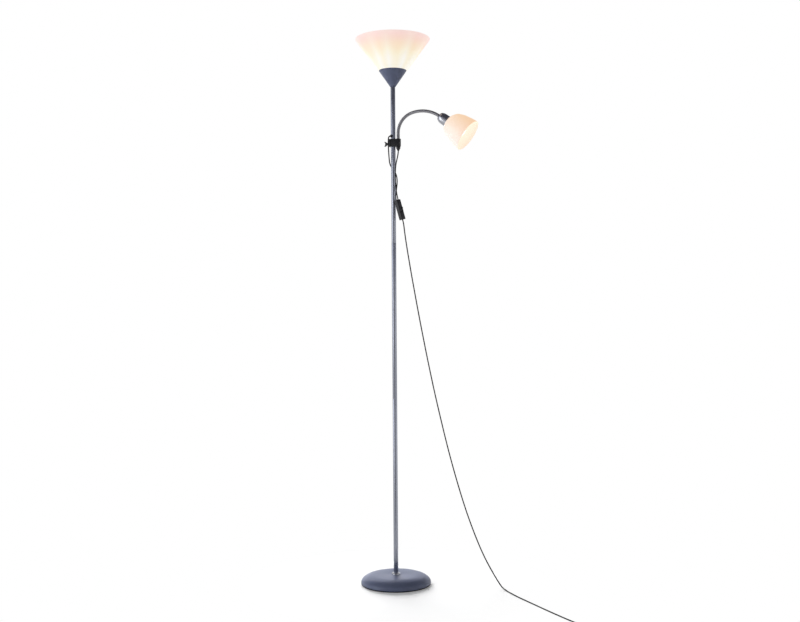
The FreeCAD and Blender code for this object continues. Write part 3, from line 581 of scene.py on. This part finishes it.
# --- Foot ---
BASE_R, BASE_FLAT, BASE_TOP, BASE_WALL = 114, 66, 31, 1.5
skirt, drop = BASE_R - BASE_FLAT, BASE_TOP - 5.5
cover = [
    (5.4, BASE_TOP), (5.4, BASE_TOP - BASE_WALL), (BASE_FLAT, BASE_TOP - BASE_WALL, -82.5),
    (BASE_FLAT + skirt * 0.484, BASE_TOP - drop * 0.185, -44.5),
    (BASE_FLAT + skirt * 0.839, BASE_TOP - drop * 0.529, -16.5),
    (BASE_R - BASE_WALL, 5.5), (BASE_R - BASE_WALL, 3.2), (BASE_R - 0.4, 3.2), (BASE_R, 5.5, 18),
    (BASE_FLAT + skirt * 0.866, 5.5 + drop * 0.5, 46), (BASE_FLAT + skirt * 0.5, 5.5 + drop * 0.866, 84),
    (BASE_FLAT, BASE_TOP),
]
piece("foot_cover", soften(lathe(cover, steps=160, fineness=3), 0.5), "paint", "stand", ["base_cover"])
foot = [(99.5, 0), (112.2, 0, 1), (113.2, 1), (113.2, 3), (99.5, 3)]
piece("foot_rubber_ring", lathe(foot, steps=160), "rubber", "stand", ["foot_ring"])
pan = [(22, 3), (110.5, 3), (110.5, 4.2), (22, 4.2)]
piece("foot_pan", soften(lathe(pan, steps=160), 0.25), "pan", "stand", ["base_pan"])
collar = [(7.55, 0), (14, 0), (14, 2.5, 4), (11, 5), (7.55, 5)]
piece("foot_collar", soften(lathe(collar, BASE_TOP), 0.3), "bright", "stand", ["base_collar"])

# --- Pole: three tubes whose ends are broken by a small chamfer, so that each seam shows as a line ---
POLE_R, POLE_BORE = 7.5, 6.5
for n, (low, high) in enumerate(((31, 602), (602, 1112), (1112, 1621)), start=1):
    tube = [(POLE_BORE, low), (POLE_R, low), (POLE_R, high), (POLE_BORE, high)]
    made = soften(lathe(tube, steps=72), 0.35, 2)
    piece("pole_tube_%d" % n, made, "tube", "stand", ["pole_section_%d" % n])
piece("cord_grommet", from_node("pole_grommet", 0.3), "plastic", "stand", ["pole_grommet"])

# --- Uplight ---
CUP_Z, SHADE_Z = 1621, 1664
slope = (45.4 - 8) / 54
cup = [(5.3, 0), (8, 0), (45.4, 54), (43.5, 54), (8 - 1.9 + slope * 6, 6), (5.3, 6)]
piece("cone_cup", soften(lathe(cup, CUP_Z, steps=128), 0.6), "paint", "stand", ["uplight_cup"])
holder_cap = [
    (5.05, 0), (10.5, 0), (12, 2), (19.5, 15), (19.5, 18), (16.5, 18), (16.5, 16), (9, 7), (5.05, 5),
]
piece("holder_cap", soften(lathe(holder_cap, SHADE_Z - 32), 0.4), "plastic", "stand", ["upper_holder_cap"])
holder = [(3.5, 4), (16.5, 4), (16.5, 0), (19.5, 0), (19.5, 9), (23, 11.5), (23, 14), (20, 14), (20, 38),
          (15.2, 38), (15.2, 8), (3.5, 8)]
piece("holder_body", soften(lathe(holder, SHADE_Z - 14), 0.5), "plastic", "stand", ["upper_holder_body"])
cone = (122 - 47.3) / (113 - 11.3)
thick = 2 * 1.24
shade = [
    (20.4, 0), (35.3, 0), (42.8, 11.3), (47.3, 11.3), (122, 113), (122 - thick, 113),
    (47.3 - thick + cone * 2, 13.3), (41.5, 13.3), (34.1, 2), (20.4, 2),
]
piece("cone_shade", line_inside(soften(lathe(shade, SHADE_Z, steps=180), 0.8)), "cone", "stand",
      ["upper_shade"], inside="cone_inside")
ring = [(20.05, 0), (24.5, 0), (24.5, 2), (23, 6), (20.05, 6)]
piece("cone_ring", soften(lathe(ring, SHADE_Z + 2), 0.4), "plastic", "stand", ["upper_shade_ring"])


def bulb_outline(radius, neck, length, wall=0.8):
    """A thin glass envelope: a straight neck, open at the foot, that widens into a globe."""
    centre, inner = length - radius, radius - wall
    down = centre - 7
    touch = math.acos(radius / math.hypot(neck, down)) - math.atan2(down, neck)
    across, fall = math.cos(touch), -math.sin(touch)
    return [
        (neck, 0), (neck, 7), (radius * across, centre - radius * fall, radius), (0, length),
        (0, length - wall, -inner), (inner * across, centre - inner * fall), (neck - wall, 7.3),
        (neck - wall, 0),
    ]


piece("upper_bulb", lathe(bulb_outline(30, 12.6, 86), SHADE_Z + 21), "upper_bulb", "stand",
      ["upper_bulb_glass"])

# --- Clamp and its wing screw ---
ARM = math.radians(-20)
ALONG = Vector((math.cos(ARM), math.sin(ARM), 0))
FACING = Vector((math.sin(ARM), -math.cos(ARM), 0))
UP = Vector((0, 0, 1))
ARM_OUT, CLAMP_Z = 17.7, 1426.6
piece("clamp_moulding", from_node("clamp_block", 0.9), "plastic", "clamp", ["clamp_block"])
piece("wing_grip", from_node("thumb_wings", 0.5), "plastic", "thumb_screw", ["thumb_wings"])
gland = [
    (2.05, 0), (3.1, 0), (4.8, 4.6), (6.85, 7), (6.85, 14.1), (5.15, 14.1), (5.15, 24), (2.05, 24),
]
at_arm = Matrix.Translation(ALONG * ARM_OUT * MM)
piece("gland_nut", soften(lathe(gland, CLAMP_Z - 14.1, steps=64), 0.4), "plastic", "clamp", ["arm_gland"],
      at_arm)

# --- Gooseneck: one wound tube, made straight and bent along its line, in lengths cut between the joints ---
NECK_R, NECK_FOOT, PITCH = 5.15, 1470.0, 1.7
RISE_R, FALL_R = 65.0, 110.0
RISE, FALL = math.radians(75), math.radians(51)
RISE_LENGTH, FALL_LENGTH = RISE_R * RISE, FALL_R * FALL


def neck_at(distance):
    """Place and heading of the neck's line, a distance along it from the first joint."""
    if distance <= 0:
        return Vector((ARM_OUT, NECK_FOOT + distance)), math.radians(90)
    if distance <= RISE_LENGTH:
        heading = math.radians(90) - distance / RISE_R
        centre = Vector((ARM_OUT + RISE_R, NECK_FOOT))
        return centre + RISE_R * Vector((-math.sin(heading), math.cos(heading))), heading
    crest = math.radians(15)
    start = Vector((ARM_OUT + RISE_R, NECK_FOOT)) + RISE_R * Vector((-math.sin(crest), math.cos(crest)))
    centre = start - FALL_R * Vector((-math.sin(crest), math.cos(crest)))
    heading = crest - (distance - RISE_LENGTH) / FALL_R
    return centre + FALL_R * Vector((-math.sin(heading), math.cos(heading))), heading


def wound_tube(low, high, turns_before=2, steps=24):
    """A straight tube of rounded wire, wound about Z with no gap between its turns: one turn, then
    copies of what there is, until it is long enough."""
    shape = bmesh.new()
    ridge = [(NECK_R - depth, share) for depth, share in (
        (0.42, 0), (0.2, 0.12), (0.04, 0.3), (0, 0.5), (0.04, 0.7), (0.2, 0.88), (0.42, 1))]
    foot = low - turns_before * PITCH
    corners = [shape.verts.new((r * MM, 0, (foot + z * PITCH) * MM)) for r, z in ridge]
    sides = [shape.edges.new(pair) for pair in zip(corners, corners[1:])]
    bmesh.ops.spin(shape, geom=corners + sides, cent=(0, 0, 0), axis=(0, 0, 1), angle=math.tau,
                   dvec=(0, 0, PITCH * MM / steps), steps=steps, use_merge=False)
    turns = 1
    while foot + turns * PITCH < high + turns_before * PITCH:
        copied = bmesh.ops.duplicate(shape, geom=shape.verts[:] + shape.edges[:] + shape.faces[:])["geom"]
        bmesh.ops.translate(shape, vec=(0, 0, turns * PITCH * MM),
                            verts=[part for part in copied if isinstance(part, bmesh.types.BMVert)])
        turns *= 2
    bmesh.ops.bisect_plane(shape, geom=shape.verts[:] + shape.edges[:] + shape.faces[:], dist=1e-7,
                           plane_co=(0, 0, (high + PITCH) * MM), plane_no=(0, 0, 1), clear_outer=True)
    bmesh.ops.remove_doubles(shape, verts=shape.verts[:], dist=2e-6)
    return shape


def cut_length(whole, low, high):
    """A length of the straight tube, closed at both ends."""
    shape = whole.copy()
    for height, side in ((low, -1), (high, 1)):
        bmesh.ops.bisect_plane(shape, geom=shape.verts[:] + shape.edges[:] + shape.faces[:], dist=1e-7,
                               plane_co=(0, 0, height * MM), plane_no=(0, 0, side), clear_outer=True)
    open_edges = [e for e in shape.edges if len(e.link_faces) == 1]
    bmesh.ops.holes_fill(shape, edges=open_edges, sides=0)
    bmesh.ops.recalc_face_normals(shape, faces=shape.faces[:])
    return shape


def bend_along_neck(shape):
    for vertex in shape.verts:
        flat, heading = neck_at(vertex.co.z / MM)
        upper_side = Vector((-math.sin(heading), math.cos(heading)))
        side = flat * MM + upper_side * vertex.co.x
        vertex.co = ALONG * side.x + UP * side.y + FACING * vertex.co.y


rises = [n * RISE_LENGTH / 3 for n in range(3)]
falls = [RISE_LENGTH + n * FALL_LENGTH / 4 for n in range(5)]
joints = rises + falls[:4]
ends = rises + falls
cuts = [-10.0] + [(a + b) / 2 for a, b in zip(ends, ends[1:])]
NECK_START, NECK_END = -32.0, RISE_LENGTH + FALL_LENGTH + 0.6
whole_neck = wound_tube(NECK_START, NECK_END)
for n, (low, high) in enumerate(zip([NECK_START] + cuts, cuts + [NECK_END])):
    made = cut_length(whole_neck, low, high)
    bend_along_neck(made)
    if n == 0:
        piece("neck_foot_length", made, "neck", "clamp", ["neck_link_1", "arm_lead"],
              crease=70)
    elif n == len(cuts):
        piece("neck_tip_length", made, "neck", "head", ["neck_link_8"], crease=70)
    else:
        bending = piece("neck_length_%d" % n, made, "neck", None, ["neck_link_%d" % (n + 1)],
                        crease=70)
        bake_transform(bending)
whole_neck.free()

# --- Reading head, made about its own axis and set on the neck's tip ---
on_tip = turned_frame(HEAD_TIP, HEAD_SIDE, HEAD_AXIS.cross(HEAD_SIDE), HEAD_AXIS)
CUP_END, CUP_R, BELL_RIM = 35, 17.9, 53.3
head_cup = [
    (5.3, 0), (9.5, 0, 9), (CUP_R - 2.8, 6, 24), (CUP_R - 0.3, 17), (CUP_R, CUP_END), (CUP_R - 1.2, CUP_END),
    (CUP_R - 1.5, 17, -22.8), (CUP_R - 4, 6.9, -7.8), (9.3, 1.3), (5.3, 1.3),
]
piece("head_cup", soften(lathe(head_cup), 0.3), "head_cup", "head", ["reading_cup"], on_tip)
head_holder = [
    (4.55, 6), (10.5, 6), (12, 8), (12, CUP_END - 3), (16, CUP_END - 1.8), (16, CUP_END), (13, CUP_END),
    (13, CUP_END + 15), (8.4, CUP_END + 15), (8.4, 22), (2.6, 22), (2.6, 18), (9, 18), (9, 12), (4.55, 12),
]
piece("head_holder", soften(lathe(head_holder, steps=72), 0.4), "plastic", "head", ["reading_holder"],
      on_tip)
bell = [
    (13.1, CUP_END), (18, CUP_END, 40), (34.5, CUP_END + 10.4, 26), (43.5, CUP_END + 24.7, 70),
    (50, CUP_END + 50, 160), (BELL_RIM, CUP_END + 82), (BELL_RIM - 2, CUP_END + 82, -158),
    (48, CUP_END + 50.4, -68), (41.6, CUP_END + 25.5, -24), (33.2, CUP_END + 12, -38), (17.4, CUP_END + 2),
    (13.1, CUP_END + 2),
]
piece("bell_shade", line_inside(soften(lathe(bell, steps=144, fineness=4), 0.7)), "bell", "head",
      ["reading_shade"], on_tip, inside="bell_inside")
small_ring = [(13.05, 0), (17, 0), (17, 1.6), (15.8, 5), (13.05, 5)]
piece("bell_ring", soften(lathe(small_ring, CUP_END + 2, steps=72), 0.3), "plastic", "head",
      ["reading_shade_ring"], on_tip)
piece("reading_bulb", lathe(bulb_outline(22.5, 6.5, 57), 45.5), "reading_bulb", "head",
      ["reading_bulb_glass"], on_tip)

# --- Switch ---
for node, name, body, width in (
        ("switch_front", "switch_shell_front", "stand", 0.6),
        ("switch_back", "switch_shell_back", "stand", 0.6),
        ("rocker_1", "rocker_key_1", "rocker_a", 0.35),
        ("rocker_2", "rocker_key_2", "rocker_b", 0.35)):
    piece(name, from_node(node, width), "plastic", body, [node])

# --- Plug ---
piece("plug_moulding", from_node("plug_body", 1.6), "plastic", "stand", ["plug_body"])
PLUG_AT, PIN_FROM_MIDDLE = (424, -540.5, 6.85), 9.3
on_plug = (Matrix.Translation(Vector(PLUG_AT) * MM) @ Matrix.Rotation(math.radians(180), 4, "Z")
           @ Matrix.Rotation(math.radians(90), 4, "Y"))
pin = [(0, -7.9), (2, -7.9), (2, 17.6, 1.8), (0.6, 19), (0, 19)]
both_pins = bmesh.new()
for side in (-1, 1):
    single = lathe(pin, steps=32)
    bmesh.ops.translate(single, vec=(0, PIN_FROM_MIDDLE * side * MM, 0), verts=single.verts[:])
    held = mesh_from("pin", single)
    both_pins.from_mesh(held)
    bpy.data.meshes.remove(held)
piece("pin_pair", both_pins, "bright", "stand", ["plug_pins"], on_plug)

# --- Hidden pieces keep their CAD shape and take the finishes of their kind ---
for finish, nodes in {
    "zinc": ("base_washer", "base_nut", "base_stud", "pole_inserts", "pole_joiners", "top_nipple", "cup_nut",
             "thumb_shank", "switch_screws", "reading_nut", "upper_bulb_cap", "reading_bulb_cap"),
    "brass": ("clamp_insert", "upper_thread_sleeve", "reading_thread_sleeve", "upper_contact",
              "reading_contact"),
    "iron": ("base_weight",),
    "plastic": ("clamp_liner",),
    "cord": ("upper_lead",),
}.items():
    for node in nodes:
        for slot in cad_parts[node].material_slots:
            slot.material = finishes[finish]

# --- Studio: white room, pale floor that keeps the shadow, soft lights, cloths that show only in a shine ---
CLOTH_R, CLOTH_LOW, CLOTH_HIGH, CLOTH_STEPS = 3.9, 1.85, 3.5, 64
AMBIENT = 0.13
FLOOR_R, FLOOR_Z, FLOOR_TONE = 6, -0.0002, 0.93
LIFT_SHARE, LIFT_STRENGTH = 0.1, 1.3
FADE_FROM, FADE_TO = 0.22, 0.5
WHITE = (1, 1, 1, 1)
world = bpy.data.worlds.new("studio")
scene.world = world
world.use_nodes = True
room = world.node_tree
room.nodes.clear()


def seen_directly(tree):
    """1 for what the camera sees, also in a mirror or through glass; 0 for the light that falls on things."""
    path = tree.nodes.new("ShaderNodeLightPath").outputs
    seen = add(tree, "ShaderNodeMath", {0: path["Is Camera Ray"], 1: path["Is Glossy Ray"]},
               operation="MAXIMUM")
    return add(tree, "ShaderNodeMath", {0: seen.outputs[0], 1: path["Is Transmission Ray"]},
               operation="MAXIMUM").outputs[0]


def mixed_shaders(tree, share, first, second):
    return add(tree, "ShaderNodeMixShader", {0: share, 1: first.outputs[0], 2: second.outputs[0]})


white = add(room, "ShaderNodeBackground", {"Color": WHITE, "Strength": 1})
ambient = add(room, "ShaderNodeBackground", {"Color": WHITE, "Strength": AMBIENT})
both = mixed_shaders(room, seen_directly(room), ambient, white)
add(room, "ShaderNodeOutputWorld", {"Surface": both.outputs[0]})


def flat_disc(radius, z, segments):
    shape = bmesh.new()
    bmesh.ops.create_circle(shape, cap_ends=True, segments=segments, radius=radius)
    bmesh.ops.translate(shape, vec=(0, 0, z), verts=shape.verts[:])
    return shape


# The camera sees the floor lifted a little, and it fades to blank white away from the foot.
floor = shown("floor", mesh_from("floor", flat_disc(FLOOR_R, FLOOR_Z, segments=96)))
floor_paint, tree, shader, place = new_finish(
    "floor_paint", Base_Color=(FLOOR_TONE, FLOOR_TONE, FLOOR_TONE, 1), Roughness=0.9, Specular_IOR_Level=0)
away = add(tree, "ShaderNodeVectorMath", {0: place}, operation="LENGTH").outputs["Value"]
lift = add(tree, "ShaderNodeEmission", {"Color": WHITE, "Strength": LIFT_STRENGTH})
blank = add(tree, "ShaderNodeEmission", {"Color": WHITE, "Strength": 1})
shadowed = mixed_shaders(tree, LIFT_SHARE, shader, lift)
faded = mixed_shaders(tree, span(tree, away, FADE_FROM, FADE_TO), shadowed, blank)
surface = mixed_shaders(tree, seen_directly(tree), shader, faded)
wire(tree, surface.outputs[0], tree.nodes["Material Output"].inputs["Surface"])
floor.data.materials.append(floor_paint)


def area_light(name, place, target, size, watts, colour=(1, 1, 1)):
    data = bpy.data.lights.new(name, "AREA")
    data.shape = "RECTANGLE"
    data.size, data.size_y = size
    data.energy = watts
    data.color = colour
    made = shown(name, data)
    made.location = place
    made.rotation_mode = "QUATERNION"
    made.rotation_quaternion = (Vector(target) - Vector(place)).to_track_quat("-Z", "Y")
    made.visible_camera = False
    return made


area_light("key", (-3.0, -1.2, 1.5), (0, 0, 0.9), (1.7, 2.8), 44, (0.93, 0.955, 1))
area_light("fill", (2.9, -1.2, 1.4), (0, 0, 0.9), (1.0, 2.4), 8)
behind = area_light("behind", (-0.6, 3.2, 1.3), (0, 0, 0.1), (3.4, 2.0), 58)
behind.data.spread = math.radians(52)
behind.visible_glossy = False


def cloth(name, shape, colour):
    """A cloth that shows only in what shines, with a level of its own."""
    made = shown(name, mesh_from(name, shape))
    made.visible_camera = False
    made.visible_diffuse = False
    made.visible_shadow = False
    made.visible_transmission = False
    weave, *_ = new_finish(name, Base_Color=(0, 0, 0, 1), Specular_IOR_Level=0, Emission_Color=(*colour, 1),
                           Emission_Strength=1)
    made.data.materials.append(weave)


wall = bmesh.new()
bmesh.ops.create_cone(wall, cap_ends=False, segments=CLOTH_STEPS, radius1=CLOTH_R, radius2=CLOTH_R,
                      depth=CLOTH_HIGH - CLOTH_LOW)
bmesh.ops.translate(wall, vec=(0, 0, (CLOTH_LOW + CLOTH_HIGH) / 2), verts=wall.verts[:])
cloth("cloth_wall", wall, (0.4, 0.41, 0.47))
cloth("cloth_ceiling", flat_disc(CLOTH_R, CLOTH_HIGH, CLOTH_STEPS), (0.1, 0.1, 0.12))
# The front cloth lies on the floor from near the foot to behind the camera, and rises there.
NEAR_Y, FAR_Y, LYING_Z = -0.45, -3.7, 0.001
front = bmesh.new()
rows = [[front.verts.new(corner) for corner in row] for row in (
    ((-0.16, NEAR_Y, LYING_Z), (0.08, NEAR_Y, LYING_Z)),
    ((-1.15, FAR_Y, LYING_Z), (0.7, FAR_Y, LYING_Z)),
    ((-1.15, FAR_Y, CLOTH_LOW), (0.7, FAR_Y, CLOTH_LOW)))]
for lower_row, upper_row in zip(rows, rows[1:]):
    front.faces.new((lower_row[0], lower_row[1], upper_row[1], upper_row[0]))
cloth("cloth_front", front, (0.12, 0.12, 0.14))
